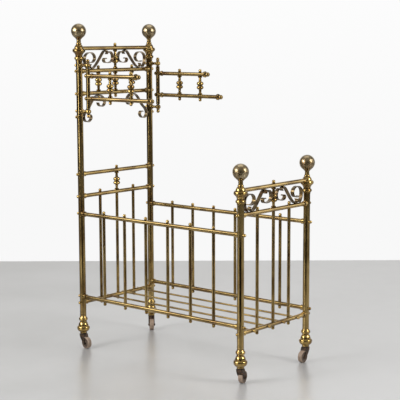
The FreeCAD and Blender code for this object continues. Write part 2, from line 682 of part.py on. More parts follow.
def panel_scrolls(name, x, middle, low):
    """Both halves of a scrolled panel, mirrored about the spindle."""
    skin = size("strap_thickness").value / 2
    inner = size("bead_radius").value + skin
    outer = half_width.value - post_radius.value - skin - size("foot_offset").value
    floor = low.value + rail_radius.value + skin + 0.2
    rise = panel_height.value - 2 * (rail_radius.value + skin + 0.2)
    knob_at = end_rod_pitch.value

    def from_middle(a):
        if a < PANEL_KNOB_ALONG:
            return inner + (knob_at - inner) * a / PANEL_KNOB_ALONG
        return knob_at + (outer - knob_at) * (a - PANEL_KNOB_ALONG) / (1 - PANEL_KNOB_ALONG)

    pieces = []
    for scroll, points in PANEL_SCROLLS.items():
        for across in (-1, 1):
            path = [(middle.value + across * from_middle(a), floor + rise * up) for a, up in points]
            pieces.append(strap(f"{name}_{scroll}_{'left' if across < 0 else 'right'}", x.value, path))
    return pieces


for end, (along, middle, rails, cast_rail) in ENDS.items():
    low_rail = rails[cast_rail] - panel_height
    pieces = panel_scrolls(f"scroll_{end}", half_length * along, middle, low_rail)
    keep(f"{end}_scrolls", group(f"{end}_scroll_set", pieces))

corner_scrolls = []
strap_skin = size("strap_thickness") / 2
scroll_start = half_width - size("corner_standoff")
scroll_reach = (scroll_start - end_rod_pitch) / CORNER_KNOB_ALONG
for side, across in (("left", -1), ("right", 1)):
    ceiling = (shoulder - rail_radius - size("strap_play") - strap_skin).value
    drop = (size("corner_drop") - strap_skin).value
    path = [(across * (scroll_start.value - scroll_reach.value * a), ceiling - drop * down)
            for a, down in CORNER_SCROLL]
    scroll = strap(f"scroll_corner_{side}", -half_length.value, path)
    knob_hole = cylinder(f"scroll_knob_hole_{side}", hole_radius, rail_radius * 2,
                         (-half_length, end_rod_pitch * across, shoulder - rail_radius * 2))
    corner_scrolls.append(cut(f"scroll_corner_{side}_drilled", scroll, knob_hole))
    # A spacer sleeve holds the scroll off the post at its bolt.
    here = corner_axis(f"head_{side}")
    inward = "+Y" if across < 0 else "-Y"
    sleeve_end = size("corner_standoff") - strap_skin - collar_seat
    sleeve = [(hole_radius, 0), (size("knob_radius"), 0), (size("knob_radius"), sleeve_end),
              (hole_radius, sleeve_end)]
    sleeve_start = step_from(here, inward, collar_seat, corner_bolt)
    corner_scrolls.append(cut(f"scroll_sleeve_{side}_saddled",
                              turned(f"scroll_sleeve_{side}", sleeve, sleeve_start, inward),
                              post_solids[f"head_{side}"]))
keep("corner_scrolls", group("corner_scroll_set", corner_scrolls))


# Swing arms: two brackets on each head post carry a pivot pin, and the arm turns on it.
ball_radius = size("bracket_ball_radius")
arm_rail_radius = size("arm_rail_radius")
arm_tube_radius = size("arm_tube_radius")


def bracket(name, corner, height):
    """Flange, neck and ball on the post, with a stud through it and a bore for the pin."""
    x, y = corner_axis(corner)
    reach = size("arm_pivot_reach")
    flange_end = post_radius + 3
    waist, flange = ball_radius * 0.5, ball_radius * 0.82
    profile = [
        (0, collar_seat), (flange, collar_seat), (flange, flange_end), (waist, flange_end + 3),
        (waist, reach), (0, reach),
    ]
    arm = turned(name + "_neck", profile, (x, y, height), "+X")
    ball = doc.addObject("Part::Sphere", name + "_ball")
    ball.setExpression("Radius", ball_radius.formula)
    place(ball, (x + reach, y, height))
    saddled = cut(name + "_saddled", fuse(name + "_solid", [arm, ball]), post_solids[corner])
    outside = nut_seat + tenon_grip
    stud = cylinder(name + "_stud", tenon_radius, outside + post_radius + 2, (x - outside, y, height), "+X")
    bore = cylinder(name + "_bore", size("pivot_radius") + fit_gap, ball_radius * 4,
                    (x + reach, y, height - ball_radius * 2))
    return cut(name + "_bored", fuse(name + "_with_stud", [saddled, stud]), bore)


def arm_rail_outline(reach):
    """A rail with a knob behind the pivot tube, a collar in front of it and a turned tip."""
    radius, tube = arm_rail_radius, arm_tube_radius
    collar, ring, tip = radius + 2, radius + 3.4, radius + 1
    back = -(tube + 1.4)
    return [
        (0, back - radius), (radius, back, radius), (radius, tube + 8), (collar, tube + 9),
        (collar, tube + 13), (radius, tube + 14), (radius, reach - 21), (ring, reach - 20),
        (ring, reach - 16), (radius * 0.8, reach - 13), (tip, reach - tip, 8), (0, reach, tip),
    ]


arm_high = bracket_high - size("arm_rail_inset")
arm_low = arm_high - size("arm_rail_spacing")
arm_rails = (("low", arm_low, size("arm_reach_low")), ("high", arm_high, size("arm_reach_high")))
for side, across in (("left", -1), ("right", 1)):
    corner = f"head_{side}"
    x, y = corner_axis(corner)
    x += size("arm_pivot_reach")
    low, high = bracket_low, bracket_high
    keep(f"arm_brackets_{side}", group(f"bracket_set_{side}", [
        bracket(f"bracket_low_{side}", corner, low), bracket(f"bracket_high_{side}", corner, high)]))
    # The pin, with an acorn knob on each end.
    pin = cylinder(f"pin_{side}", size("pivot_radius"), high - low + (ball_radius + tenon_grip) * 2,
                   (x, y, low - ball_radius - tenon_grip))
    acorn = knob_outline(size("pivot_radius") + fit_gap, size("knob_radius") + 0.6, size("knob_height") + 1)
    keep(f"arm_pivot_{side}", group(f"pivot_set_{side}", [
        pin, turned(f"acorn_high_{side}", acorn, (x, y, high + ball_radius)),
        turned(f"acorn_low_{side}", acorn, (x, y, low - ball_radius), "-Z")]))
    # The pivot tube turns on the pin between the two balls.
    start = low + ball_radius + swing_gap
    tube_length = high - ball_radius - swing_gap - start
    tube = cylinder(f"arm_tube_outside_{side}", arm_tube_radius, tube_length, (x, y, start))
    bore = cylinder(f"arm_tube_bore_{side}", size("pivot_radius") + size("running_gap"), high - low,
                    (x, y, low))
    keep(f"arm_tube_{side}", cut(f"arm_tube_bored_{side}", tube, bore))
    # Rails, saddled round the tube and drilled for the spindles.
    spindle_places = [x + size("arm_spindle_near"), x + size("arm_spindle_far")]
    rails = []
    for level, height, reach in arm_rails:
        drills = [cylinder(f"arm_{level}_tube_cut_{side}", arm_tube_radius, rail_radius * 6,
                           (x, y, height - rail_radius * 3))]
        for number, at_x in enumerate(spindle_places):
            drills.append(cross_hole(f"arm_{level}_hole_{number}_{side}", at_x, y, height))
        rails.append(cut(f"arm_{level}_drilled_{side}",
                         turned(f"arm_rail_{level}_{side}", arm_rail_outline(reach), (x, y, height), "+X"),
                         fuse(f"arm_{level}_drills_{side}", drills)))
    keep(f"arm_rails_{side}", group(f"arm_rail_set_{side}", rails))
    clear = arm_high - arm_low - arm_rail_radius * 2
    with_tenon = spindle_outline(clear, arm_rail_radius * 2)
    spindles = []
    for number, at_x in enumerate(spindle_places):
        above, below = (at_x, y, arm_high + arm_rail_radius), (at_x, y, arm_low - arm_rail_radius)
        base = (at_x, y, arm_low + arm_rail_radius)
        spindles.append(turned(f"arm_spindle_{number}_{side}", with_tenon, base))
        spindles.append(turned(f"arm_knob_high_{number}_{side}", knob, above))
        spindles.append(turned(f"arm_knob_low_{number}_{side}", knob, below, "-Z"))
    keep(f"arm_spindles_{side}", group(f"arm_spindle_set_{side}", spindles))

# Casters: a fork that swivels on its stem in the turned foot, and a wheel on a riveted axle.
# Each stands turned as the rack was last rolled: degrees from +X to the trailing axle.
CASTER_TURNS = {"head_left": -8, "head_right": -44, "foot_left": 105, "foot_right": -86}
trail = size("caster_trail")
wheel_gap = swing_gap + 0.3
fork_inside = size("wheel_width") + wheel_gap * 2
fork_outside = fork_inside + size("fork_wall") * 2
plate_top = foot_bottom - swing_gap
plate_low = plate_top - 3.2


def slab(name, outline, thickness):
    """A flat piece in the XZ plane, equally thick to both sides of it."""
    sketch = doc.addObject("Sketcher::SketchObject", name + "_outline")
    sketch.Placement = FreeCAD.Placement(FreeCAD.Vector(0, 0, 0), POINTING["-Y"])
    draw(sketch, outline)
    piece = doc.addObject("Part::Extrusion", name)
    piece.Base = sketch
    piece.DirMode = "Custom"
    piece.Dir = FreeCAD.Vector(0, 1, 0)
    piece.setExpression("LengthFwd", thickness.formula)
    piece.Symmetric = True
    piece.Solid = True
    return piece


def turn_about_stem(piece, corner):
    """Stand a caster piece under its post, turned to its resting direction."""
    x, y = corner_axis(corner)
    turn = FreeCAD.Rotation(FreeCAD.Vector(0, 0, 1), CASTER_TURNS[corner])
    piece.Placement = FreeCAD.Placement(FreeCAD.Vector(0, 0, 0), turn)
    for axis, length in (("x", x), ("y", y)):
        piece.setExpression(f"Placement.Base.{axis}", length.formula)
    return piece


for corner in CORNERS:
    boss = size("axle_radius") + 3.2
    horn = slab(f"horn_{corner}", [
        (-8, plate_low), (-7, plate_low - 7), (trail - boss, wheel_radius, 40),
        (trail, wheel_radius - boss, boss), (trail + boss, wheel_radius, boss), (9, plate_low, -60),
    ], fork_outside)
    wheel_well = cylinder(f"well_{corner}", wheel_radius + 1.4, fork_inside,
                          (trail, -(fork_inside / 2), wheel_radius), "+Y")
    cheeks = cut(f"cheeks_{corner}", horn, wheel_well)
    plate = cylinder(f"plate_{corner}", size("stem_radius") + 6.5, plate_top - plate_low, (0, 0, plate_low))
    stem = cylinder(f"stem_{corner}", size("stem_radius"), size("stem_length"), (0, 0, plate_top))
    axle_hole = cylinder(f"axle_hole_{corner}", size("axle_radius") + fit_gap, fork_outside * 2,
                         (trail, -fork_outside, wheel_radius), "+Y")
    fork = cut(f"fork_drilled_{corner}", fuse(f"fork_{corner}", [cheeks, plate, stem]), axle_hole)
    axle = cylinder(f"axle_{corner}", size("axle_radius"), fork_outside + 1,
                    (trail, -((fork_outside + 1) / 2), wheel_radius), "+Y")
    keep(f"caster_fork_{corner}", turn_about_stem(group(f"fork_set_{corner}", [fork, axle]), corner))
    bore, width, round_edge = size("axle_radius") + size("running_gap"), size("wheel_width"), 2.6
    hub = size("axle_radius") + 3.6
    tread = turned(f"tread_{corner}", [
        (bore, 0), (hub, 0), (hub + 1.2, 1.2), (wheel_radius - round_edge - 1, 1.2),
        (wheel_radius - round_edge, 0), (wheel_radius, round_edge, round_edge * 1.05),
        (wheel_radius, width - round_edge), (wheel_radius - round_edge, width, round_edge * 1.05),
        (wheel_radius - round_edge - 1, width - 1.2), (hub + 1.2, width - 1.2), (hub, width), (bore, width)],
        (trail, -(width / 2), wheel_radius), "+Y")
    keep(f"caster_wheel_{corner}", turn_about_stem(group(f"wheel_set_{corner}", [tread]), corner))

doc.recompute()

# Nothing is written unless every feature computed and every sub-part is a valid solid.
for thing in doc.Objects:
    if "Invalid" in thing.State or "Error" in thing.State:
        raise RuntimeError(f"{thing.Name} did not compute: {thing.State}")
for label, piece in nodes.items():
    if piece.Shape.isNull() or not piece.Shape.isValid() or not piece.Shape.Solids:
        raise RuntimeError(f"{label} is not a valid solid")

os.makedirs("parts", exist_ok=True)
for label, piece in nodes.items():
    piece.Shape.exportStep(os.path.join("parts", label + ".step"))
    box = piece.Shape.BoundBox
    extent = f"{box.XLength:.1f} x {box.YLength:.1f} x {box.ZLength:.1f} mm"
    print(f"{label}: {len(piece.Shape.Solids)} solids, {extent}")
print(len(nodes), "sub-parts")
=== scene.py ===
# %% [markdown]
# # A brass magazine rack in the shape of a small bed
# The rack is a toy-sized half-tester bedstead: drawn brass tubes, cast finials, spun balls,
# bent straps for the scrollwork and four small casters. Its shape comes ready made from the
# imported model, which loads as one mesh per part, already in place and in metres. This lesson
# gives each part the finish that its making and its long life left on it, adds the small parts
# that a metalworker adds last, and lights it like a studio.

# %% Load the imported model
import math
import random

import bmesh
import bpy
from mathutils import Matrix, Vector


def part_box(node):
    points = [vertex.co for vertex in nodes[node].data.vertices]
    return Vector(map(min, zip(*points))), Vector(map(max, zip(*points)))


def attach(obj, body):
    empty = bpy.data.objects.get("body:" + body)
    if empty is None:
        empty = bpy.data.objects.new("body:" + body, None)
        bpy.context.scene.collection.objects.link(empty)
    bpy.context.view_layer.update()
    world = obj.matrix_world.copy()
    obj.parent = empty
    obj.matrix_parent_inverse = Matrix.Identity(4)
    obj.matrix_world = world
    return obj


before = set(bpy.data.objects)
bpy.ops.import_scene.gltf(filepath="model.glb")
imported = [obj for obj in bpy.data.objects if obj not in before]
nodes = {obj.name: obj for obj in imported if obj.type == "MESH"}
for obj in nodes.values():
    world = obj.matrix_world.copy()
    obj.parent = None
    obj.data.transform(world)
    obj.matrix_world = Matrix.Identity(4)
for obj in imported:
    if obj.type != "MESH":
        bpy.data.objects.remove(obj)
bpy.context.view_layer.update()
scene = bpy.context.scene

# %% [markdown]
# ## Colours and the one helper
# A hex colour is sRGB, but a shader works in linear light, so one function turns one into the
# other. A material is a small tree of nodes, and one helper adds a node: it takes the
# node's own settings by name and, for its sockets, either a value or another node's output.
# Sockets go by name, except on a Mix node: it has several that are called A, so its two
# colours and its result go by number.

# %% Colours and the node helper
MM = 0.001
COLOUR_A, COLOUR_B, MIXED = 6, 7, 2


def linear(hex_colour):
    """An sRGB hex colour as linear RGBA."""
    channels = [int(hex_colour[place:place + 2], 16) / 255 for place in (1, 3, 5)]
    return [c / 12.92 if c <= 0.04045 else ((c + 0.055) / 1.055) ** 2.4 for c in channels] + [1.0]


def add(tree, kind, sockets=(), **settings):
    """Add a node; a socket gets a value, or a link if it is given another node's output."""
    node = tree.nodes.new(kind)
    for name, value in settings.items():
        setattr(node, name, value)
    for socket, value in dict(sockets).items():
        if isinstance(value, bpy.types.NodeSocket):
            tree.links.new(value, node.inputs[socket])
        else:
            node.inputs[socket].default_value = value
    return node


def new_material(name):
    """A material, its node tree and the shader in it."""
    material = bpy.data.materials.new(name)
    material.use_nodes = True
    return material, material.node_tree, material.node_tree.nodes["Principled BSDF"]


print("one millimetre is", MM, "units, and #808080 is", round(linear("#808080")[0], 3), "in linear light")

# %% [markdown]
# ## Aged brass
# All the visible tube and turned work is brass that was lacquered when new. The lacquer has
# worn through, so the metal under it has tarnished: handled places stay golden and smooth, other
# patches have gone olive and brown, and small spots have bitten deeper. Every corner where two
# parts meet is darkened with painted shade and some grime. Five patterns make that, each at its
# real size: clouds of tarnish 16 to 70 mm long, a slower one that leans their brown towards
# copper, spots of 3 mm, the tool's own marks, and the painted corner shade and grime, found by
# looking for nearby metal. They share the colour, the roughness and the bump, so a brown patch is
# also a dull one.

# %% The brass recipe
SPOT_MM, COPPER_MM, CORNER_MM = 3.2, 31, 9
COPPERY_BROWN = "#7e5330"


def aged_brass(name, bright, tarnish, shade_and_grime, marks_mm, gloss, cloud_mm=50.0, wear=0.5, mark_depth=0.008):
    """marks_mm is the spacing of the tool's marks along X, Y and Z; gloss is the clean roughness;
    a lower wear leaves more tarnish; mark_depth is in mm."""
    material, tree, shader = new_material(name)
    place = add(tree, "ShaderNodeTexCoord").outputs["Object"]
    clouds = add(tree, "ShaderNodeTexNoise",
                 {"Vector": place, "Scale": 1 / (cloud_mm * MM), "Detail": 4.0, "Roughness": 0.5})
    cloudy = add(tree, "ShaderNodeMapRange",
                 {"Value": clouds.outputs["Fac"], "From Min": wear - 0.16, "From Max": wear + 0.2},
                 interpolation_type="SMOOTHSTEP")
    spots = add(tree, "ShaderNodeTexNoise",
                {"Vector": place, "Scale": 1 / (SPOT_MM * MM), "Detail": 2.0, "Roughness": 0.5})
    spotty = add(tree, "ShaderNodeMapRange",
                 {"Value": spots.outputs["Fac"], "From Min": 0.6, "From Max": 0.76, "To Max": 0.3},
                 interpolation_type="SMOOTHSTEP")
    stained = add(tree, "ShaderNodeMath", {0: cloudy.outputs["Result"], 1: spotty.outputs["Result"]},
                  operation="MAXIMUM")
    # Painted shade: ambient occlusion finds metal within CORNER_MM of other metal, and there the colour is
    # darkened towards near black, as shade and some grime; the same mask also dulls the roughness.
    crevices = add(tree, "ShaderNodeAmbientOcclusion", {"Distance": CORNER_MM * MM}, samples=6)
    shade_and_grime_mask = add(tree, "ShaderNodeMapRange",
                {"Value": crevices.outputs["AO"], "From Min": 0.85, "From Max": 0.35, "To Max": 0.9},
                interpolation_type="SMOOTHSTEP")
    marks_at = add(tree, "ShaderNodeVectorMath",
                   {0: place, 1: [1 / (spacing * MM) for spacing in marks_mm]}, operation="MULTIPLY")
    marks = add(tree, "ShaderNodeTexNoise",
                {"Vector": marks_at.outputs["Vector"], "Scale": 1.0, "Detail": 2.0, "Roughness": 0.55})
    copper = add(tree, "ShaderNodeTexNoise",
                 {"Vector": place, "Scale": 1 / (COPPER_MM * MM), "Detail": 3.0})
    coppery = add(tree, "ShaderNodeMapRange",
                  {"Value": copper.outputs["Fac"], "From Min": 0.5, "From Max": 0.68, "To Max": 0.5},
                  interpolation_type="SMOOTHSTEP")

    # The colour: clean metal, then the two browns of its tarnish, then painted shade and grime in the
    # corners on top.
    brown = add(tree, "ShaderNodeMix",
                {"Factor": coppery.outputs["Result"], COLOUR_A: linear(tarnish),
                 COLOUR_B: linear(COPPERY_BROWN)}, data_type="RGBA")
    metal = add(tree, "ShaderNodeMix",
                {"Factor": stained.outputs["Value"], COLOUR_A: linear(bright),
                 COLOUR_B: brown.outputs[MIXED]}, data_type="RGBA")
    colour = add(tree, "ShaderNodeMix",
                 {"Factor": shade_and_grime_mask.outputs["Result"], COLOUR_A: metal.outputs[MIXED],
                  COLOUR_B: linear(shade_and_grime)}, data_type="RGBA")

    # The roughness: tarnish dulls a little, the marks a little, and the corners with painted shade and
    # grime most.
    dulled = add(tree, "ShaderNodeMath",
                 {0: stained.outputs["Value"], 1: 0.08, 2: gloss}, operation="MULTIPLY_ADD")
    grained = add(tree, "ShaderNodeMath",
                  {0: marks.outputs["Fac"], 1: 0.05, 2: dulled.outputs["Value"]}, operation="MULTIPLY_ADD")
    rough = add(tree, "ShaderNodeMath",
                {0: shade_and_grime_mask.outputs["Result"], 1: 0.25, 2: grained.outputs["Value"]},
                operation="MULTIPLY_ADD")

    # The bump: the tool's marks, with the spots bitten in.
    relief = add(tree, "ShaderNodeMath",
                 {0: spotty.outputs["Result"], 1: -0.3, 2: marks.outputs["Fac"]}, operation="MULTIPLY_ADD")
    bump = add(tree, "ShaderNodeBump",
               {"Height": relief.outputs["Value"], "Distance": mark_depth * MM, "Strength": 1.0})
    tree.links.new(colour.outputs[MIXED], shader.inputs["Base Color"])
    tree.links.new(rough.outputs["Value"], shader.inputs["Roughness"])
    tree.links.new(bump.outputs["Normal"], shader.inputs["Normal"])
    shader.inputs["Metallic"].default_value = 1.0
    # What is left of the lacquer is a thin clear skin, which whitens the brightest gleams.
    shader.inputs["Coat Weight"].default_value = 0.6
    shader.inputs["Coat Roughness"].default_value = 0.12
    return material


def finish(material, *names):
    """Give parts a material; every face of the part takes it."""
    for name in names:
        slots = nodes[name].material_slots
        for slot in slots:
            slot.material = material
        if not slots:
            nodes[name].data.materials.append(material)
    print(material.name, "on", ", ".join(names))


# %% Drawn brass tube
# Seamed tube, drawn through a die: fine lines run along it, and it keeps a high gloss. The lines
# follow the tube, so there is one material for each way that the tubes run.
TUBE = dict(bright="#b3975a", tarnish="#755b28", shade_and_grime="#2c1d08", gloss=0.07, cloud_mm=70.0,
            mark_depth=0.005)
upright_tube = aged_brass("drawn brass tube, upright", marks_mm=(0.7, 0.7, 45), **TUBE)
cross_tube = aged_brass("drawn brass tube, across", marks_mm=(0.7, 45, 0.7), **TUBE)
long_tube = aged_brass("drawn brass tube, lengthwise", marks_mm=(45, 0.7, 0.7), **TUBE)
corners = [f"{end}_{side}" for end in ("head", "foot") for side in ("left", "right")]
sides = ("left", "right")
finish(upright_tube, *[f"post_{corner}" for corner in corners], *[f"side_rods_{side}" for side in sides],
       "head_rods", "foot_rods", *[f"arm_tube_{side}" for side in sides])
finish(cross_tube, *[name for name in nodes if name.startswith(("head_rail_", "foot_rail_"))])
finish(long_tube, *[name for name in nodes if name.startswith("side_rail_")],
       *[f"arm_rails_{side}" for side in sides], "floor_rods")

# %% Turned, cast and spun brass
# Lathe work: fine rings round an upright axis, golden where it is handled, and darkened in the coves with
# painted shade and grime.
turned_brass = aged_brass("turned brass", bright="#bb9d59", tarnish="#7a5d27", shade_and_grime="#241707",
                          marks_mm=(9, 9, 0.5), gloss=0.11, cloud_mm=24.0)
# Sand-cast brass, turned and polished afterwards: softer gloss and a little pitting.
cast_brass = aged_brass("cast and polished brass", bright="#b89a56", tarnish="#785b25", shade_and_grime="#241707",
                        marks_mm=(7, 7, 0.6), gloss=0.13, cloud_mm=30.0, mark_depth=0.012)
# Spun hollow balls: the thinnest metal, dulled evenly to a greyer brown.
spun_brass = aged_brass("spun brass ball", bright="#a39270", tarnish="#7c6947", shade_and_grime="#3a2c1a",
                        marks_mm=(14, 14, 0.8), gloss=0.24, cloud_mm=22.0, mark_depth=0.004)
finish(turned_brass, "side_knobs", "head_knobs", "foot_knobs", "head_spindles", "foot_spindles",
       "cap_nuts", "floor_rod_nuts", "rail_collars", *[f"arm_pivot_{side}" for side in sides],
       *[f"arm_spindles_{side}" for side in sides])
finish(cast_brass, "finial_castings", *[f"turned_foot_{corner}" for corner in corners],
       *[f"arm_brackets_{side}" for side in sides])
finish(spun_brass, "ball_finials")

# %% Bent strap and steel studs
# Bent strap: brass bar, never polished as bright as the tube, with dark faces and rubbed edges.
strap_brass = aged_brass("bent brass strap", bright="#8a7550", tarnish="#574529", shade_and_grime="#261c10",
                         marks_mm=(12, 1.0, 1.0), gloss=0.24, cloud_mm=16.0, wear=0.44)
finish(strap_brass, "head_scrolls", "foot_scrolls", "corner_scrolls")
# Plain steel studs only show inside a joint. The same recipe serves, with its brown as rust.
stud_steel = aged_brass("plain steel stud", bright="#a09c94", tarnish="#6f6a62", shade_and_grime="#332e28",
                        marks_mm=(0.6, 0.6, 0.6), gloss=0.35)
finish(stud_steel, "rail_studs")

# %% [markdown]
# ## Casters
# The forks are cast iron, once blacked, now brown with rust and rubbed bare at the edges. The
# wheels are turned hardwood, stained, with a tread crushed pale by the floor. Iron is dull and
# barely metallic where it has rusted, so its rust pattern drives the metallic value as well.

# %% Blacked iron
# Sand casting leaves a grain of 0.8 mm, and the rust comes in blotches of 6 mm.
iron, tree, shader = new_material("blacked cast iron")
place = add(tree, "ShaderNodeTexCoord").outputs["Object"]
rust = add(tree, "ShaderNodeTexNoise", {"Vector": place, "Scale": 1 / (6 * MM), "Detail": 5.0})
rusty = add(tree, "ShaderNodeMapRange", {"Value": rust.outputs["Fac"], "From Min": 0.42, "From Max": 0.62},
            interpolation_type="SMOOTHSTEP")
sand = add(tree, "ShaderNodeTexNoise", {"Vector": place, "Scale": 1 / (0.8 * MM), "Detail": 3.0})
colour = add(tree, "ShaderNodeMix",
             {"Factor": rusty.outputs["Result"], COLOUR_A: linear("#3a332c"), COLOUR_B: linear("#5c4432")},
             data_type="RGBA")
metallic = add(tree, "ShaderNodeMapRange",
               {"Value": rusty.outputs["Result"], "To Min": 0.85, "To Max": 0.25})
rough = add(tree, "ShaderNodeMapRange", {"Value": rusty.outputs["Result"], "To Min": 0.38, "To Max": 0.7})
bump = add(tree, "ShaderNodeBump", {"Height": sand.outputs["Fac"], "Distance": 0.15 * MM})
tree.links.new(colour.outputs[MIXED], shader.inputs["Base Color"])
tree.links.new(metallic.outputs["Result"], shader.inputs["Metallic"])
tree.links.new(rough.outputs["Result"], shader.inputs["Roughness"])
tree.links.new(bump.outputs["Normal"], shader.inputs["Normal"])
finish(iron, *[f"caster_fork_{corner}" for corner in corners])


# %% Stained hardwood
def stained_wood(name, hub, tread_start):
    """Turned beech: grain 1.5 mm apart, dark stain, and pale where it is further from the hub
    than the start of the tread."""
    material, tree, shader = new_material(name)
    place = add(tree, "ShaderNodeTexCoord").outputs["Object"]
    grain_at = add(tree, "ShaderNodeVectorMath",
                   {0: place, 1: [1 / (spacing * MM) for spacing in (4, 4, 1.5)]}, operation="MULTIPLY")
    grain = add(tree, "ShaderNodeTexNoise",
                {"Vector": grain_at.outputs["Vector"], "Scale": 1.0, "Detail": 4.0})
    worn = add(tree, "ShaderNodeTexNoise", {"Vector": place, "Scale": 1 / (11 * MM), "Detail": 3.0})
    stain = add(tree, "ShaderNodeMix",
                {"Factor": grain.outputs["Fac"], COLOUR_A: linear("#40362d"), COLOUR_B: linear("#6b594a")},
                data_type="RGBA")
    from_hub = add(tree, "ShaderNodeVectorMath", {0: place, 1: hub}, operation="DISTANCE")
    ragged = add(tree, "ShaderNodeMath",
                 {0: worn.outputs["Fac"], 1: 3 * MM, 2: from_hub.outputs["Value"]},
                 operation="MULTIPLY_ADD")
    rubbed = add(tree, "ShaderNodeMapRange",
                 {"Value": ragged.outputs["Value"], "From Min": tread_start,
                  "From Max": tread_start + 2 * MM}, interpolation_type="SMOOTHSTEP")
    colour = add(tree, "ShaderNodeMix",
                 {"Factor": rubbed.outputs["Result"], COLOUR_A: stain.outputs[MIXED],
                  COLOUR_B: linear("#a48e7b")}, data_type="RGBA")
    rough = add(tree, "ShaderNodeMapRange", {"Value": grain.outputs["Fac"], "To Min": 0.34, "To Max": 0.6})
    bump = add(tree, "ShaderNodeBump", {"Height": grain.outputs["Fac"], "Distance": 0.1 * MM})
    tree.links.new(colour.outputs[MIXED], shader.inputs["Base Color"])
    tree.links.new(rough.outputs["Result"], shader.inputs["Roughness"])
    tree.links.new(bump.outputs["Normal"], shader.inputs["Normal"])
    return material


def middle(box):
    return (Vector(box[0]) + Vector(box[1])) / 2


hubs = {corner: middle(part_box(f"caster_wheel_{corner}")) for corner in corners}
for corner, hub in hubs.items():
    wheel_radius = (Vector(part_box(f"caster_wheel_{corner}")[1]) - hub).z
    wood = stained_wood(f"stained beech wheel, {corner}", hub, wheel_radius)
    finish(wood, f"caster_wheel_{corner}")

# %% [markdown]
# ## Small parts that a maker adds last
# Each axle is a soft iron rod whose ends are hammered over into low domes. The two diagonal
# scrolls of a panel are brazed to the rails above and below them, which leaves a small golden
# lump at each end; the hooks and the inner scrolls get none here. Both kinds are ellipsoids at
# heart, but a hammered or flowed surface is never even, so every lump is a ball of rings that
# is squashed to size and then knocked a little out of true with seeded noise.

# %% Lumps of metal
random.seed(7)
RINGS, SPOKES = 8, 14


def lump(mesh, centre, radii, frame_axes, unevenness):
    """Add an uneven ellipsoid; frame_axes holds its three directions."""
    turn = Matrix(frame_axes).transposed()
    levels = []
    for ring in range(RINGS + 1):
        polar = math.pi * ring / RINGS
        count = 1 if ring in (0, RINGS) else SPOKES
        level = []
        for spoke in range(count):
            around = math.tau * spoke / SPOKES
            swell = 1 + random.uniform(-unevenness, unevenness)
            local = Vector((radii[0] * math.sin(polar) * math.cos(around),
                            radii[1] * math.sin(polar) * math.sin(around), radii[2] * math.cos(polar)))
            level.append(mesh.verts.new(Vector(centre) + turn @ local * swell))
        levels.append(level)
    for upper, lower in zip(levels, levels[1:]):
        for spoke in range(SPOKES):
            after = (spoke + 1) % SPOKES
            face = [upper[spoke % len(upper)], lower[spoke % len(lower)],
                    lower[after % len(lower)], upper[after % len(upper)]]
            mesh.faces.new(list(dict.fromkeys(face)))


def to_object(name, mesh, material, smooth):
    """Turn a finished bmesh into an object of one material."""
    made = bpy.data.meshes.new(name)
    mesh.to_mesh(made)
    mesh.free()
    made.materials.append(material)
    made.polygons.foreach_set("use_smooth", [smooth] * len(made.polygons))
    piece = bpy.data.objects.new(name, made)
    scene.collection.objects.link(piece)
    print(name, "has", len(made.polygons), "faces")
    return piece


def small_part(name, mesh, body, material):
    """Turn lumps into one smooth piece that rides on a body."""
    bmesh.ops.recalc_face_normals(mesh, faces=mesh.faces)
    piece = to_object(name, mesh, material, smooth=True)
    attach(piece, body)


# %% Hammered axle ends
RIVET_RADIUS, RIVET_RISE, RIVET_SUNK = 4.1 * MM, 2.1 * MM, 0.7 * MM
for corner, hub in hubs.items():
    stem = middle(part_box(f"post_{corner}"))
    trailing = Vector((hub.x - stem.x, hub.y - stem.y, 0)).normalized()
    axle = Vector((-trailing.y, trailing.x, 0))
    cheek = max((vertex.co - hub).dot(axle) for vertex in nodes[f"caster_fork_{corner}"].data.vertices)
    mesh = bmesh.new()
    for end in (-1, 1):
        lump(mesh, hub + axle * end * (cheek - RIVET_SUNK), (RIVET_RADIUS, RIVET_RADIUS, RIVET_RISE),
             (trailing, Vector((0, 0, 1)), axle), unevenness=0.06)
    small_part(f"axle_rivets_{corner}", mesh, f"fork_{corner}", iron)


# %% Brazing lumps
def touches(scrolls, rail, gap=0.5 * MM, apart=6 * MM):
    """The middles of the places where the scrolls come within a gap of a rail along Y."""
    centre = middle(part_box(rail))
    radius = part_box(rail)[1][2] - centre.z
    near = sorted((vertex.co for vertex in nodes[scrolls].data.vertices
                   if abs(math.hypot(vertex.co.x - centre.x, vertex.co.z - centre.z) - radius) < gap),
                  key=lambda spot: spot.y)
    groups = []
    for spot in near:
        if not groups or spot.y - groups[-1][-1].y > apart:
            groups.append([])
        groups[-1].append(spot)
    return [Vector((centre.x, *(sum(spot[axis] for spot in group) / len(group) for axis in (1, 2))))
            for group in groups]


BRAZING = (4.2 * MM, 3.2 * MM, 1.9 * MM)
for end in ("head", "foot"):
    rails = [name for name in nodes if name.startswith(f"{end}_rail_")]
    joints = [spot for rail in rails for spot in touches(f"{end}_scrolls", rail)]
    print(end, [[round(value, 3) for value in spot] for spot in joints])
    mesh = bmesh.new()
    for spot in joints:
        lump(mesh, spot, BRAZING, Matrix.Identity(3), unevenness=0.12)
    small_part(f"brazing_{end}", mesh, "frame", turned_brass)

# %% [markdown]
# ## The camera
# A long lens stands about three and a half metres away, at the height of the rack's finials, so
# the posts stay nearly parallel. It looks towards the tall head end from the foot end's left.

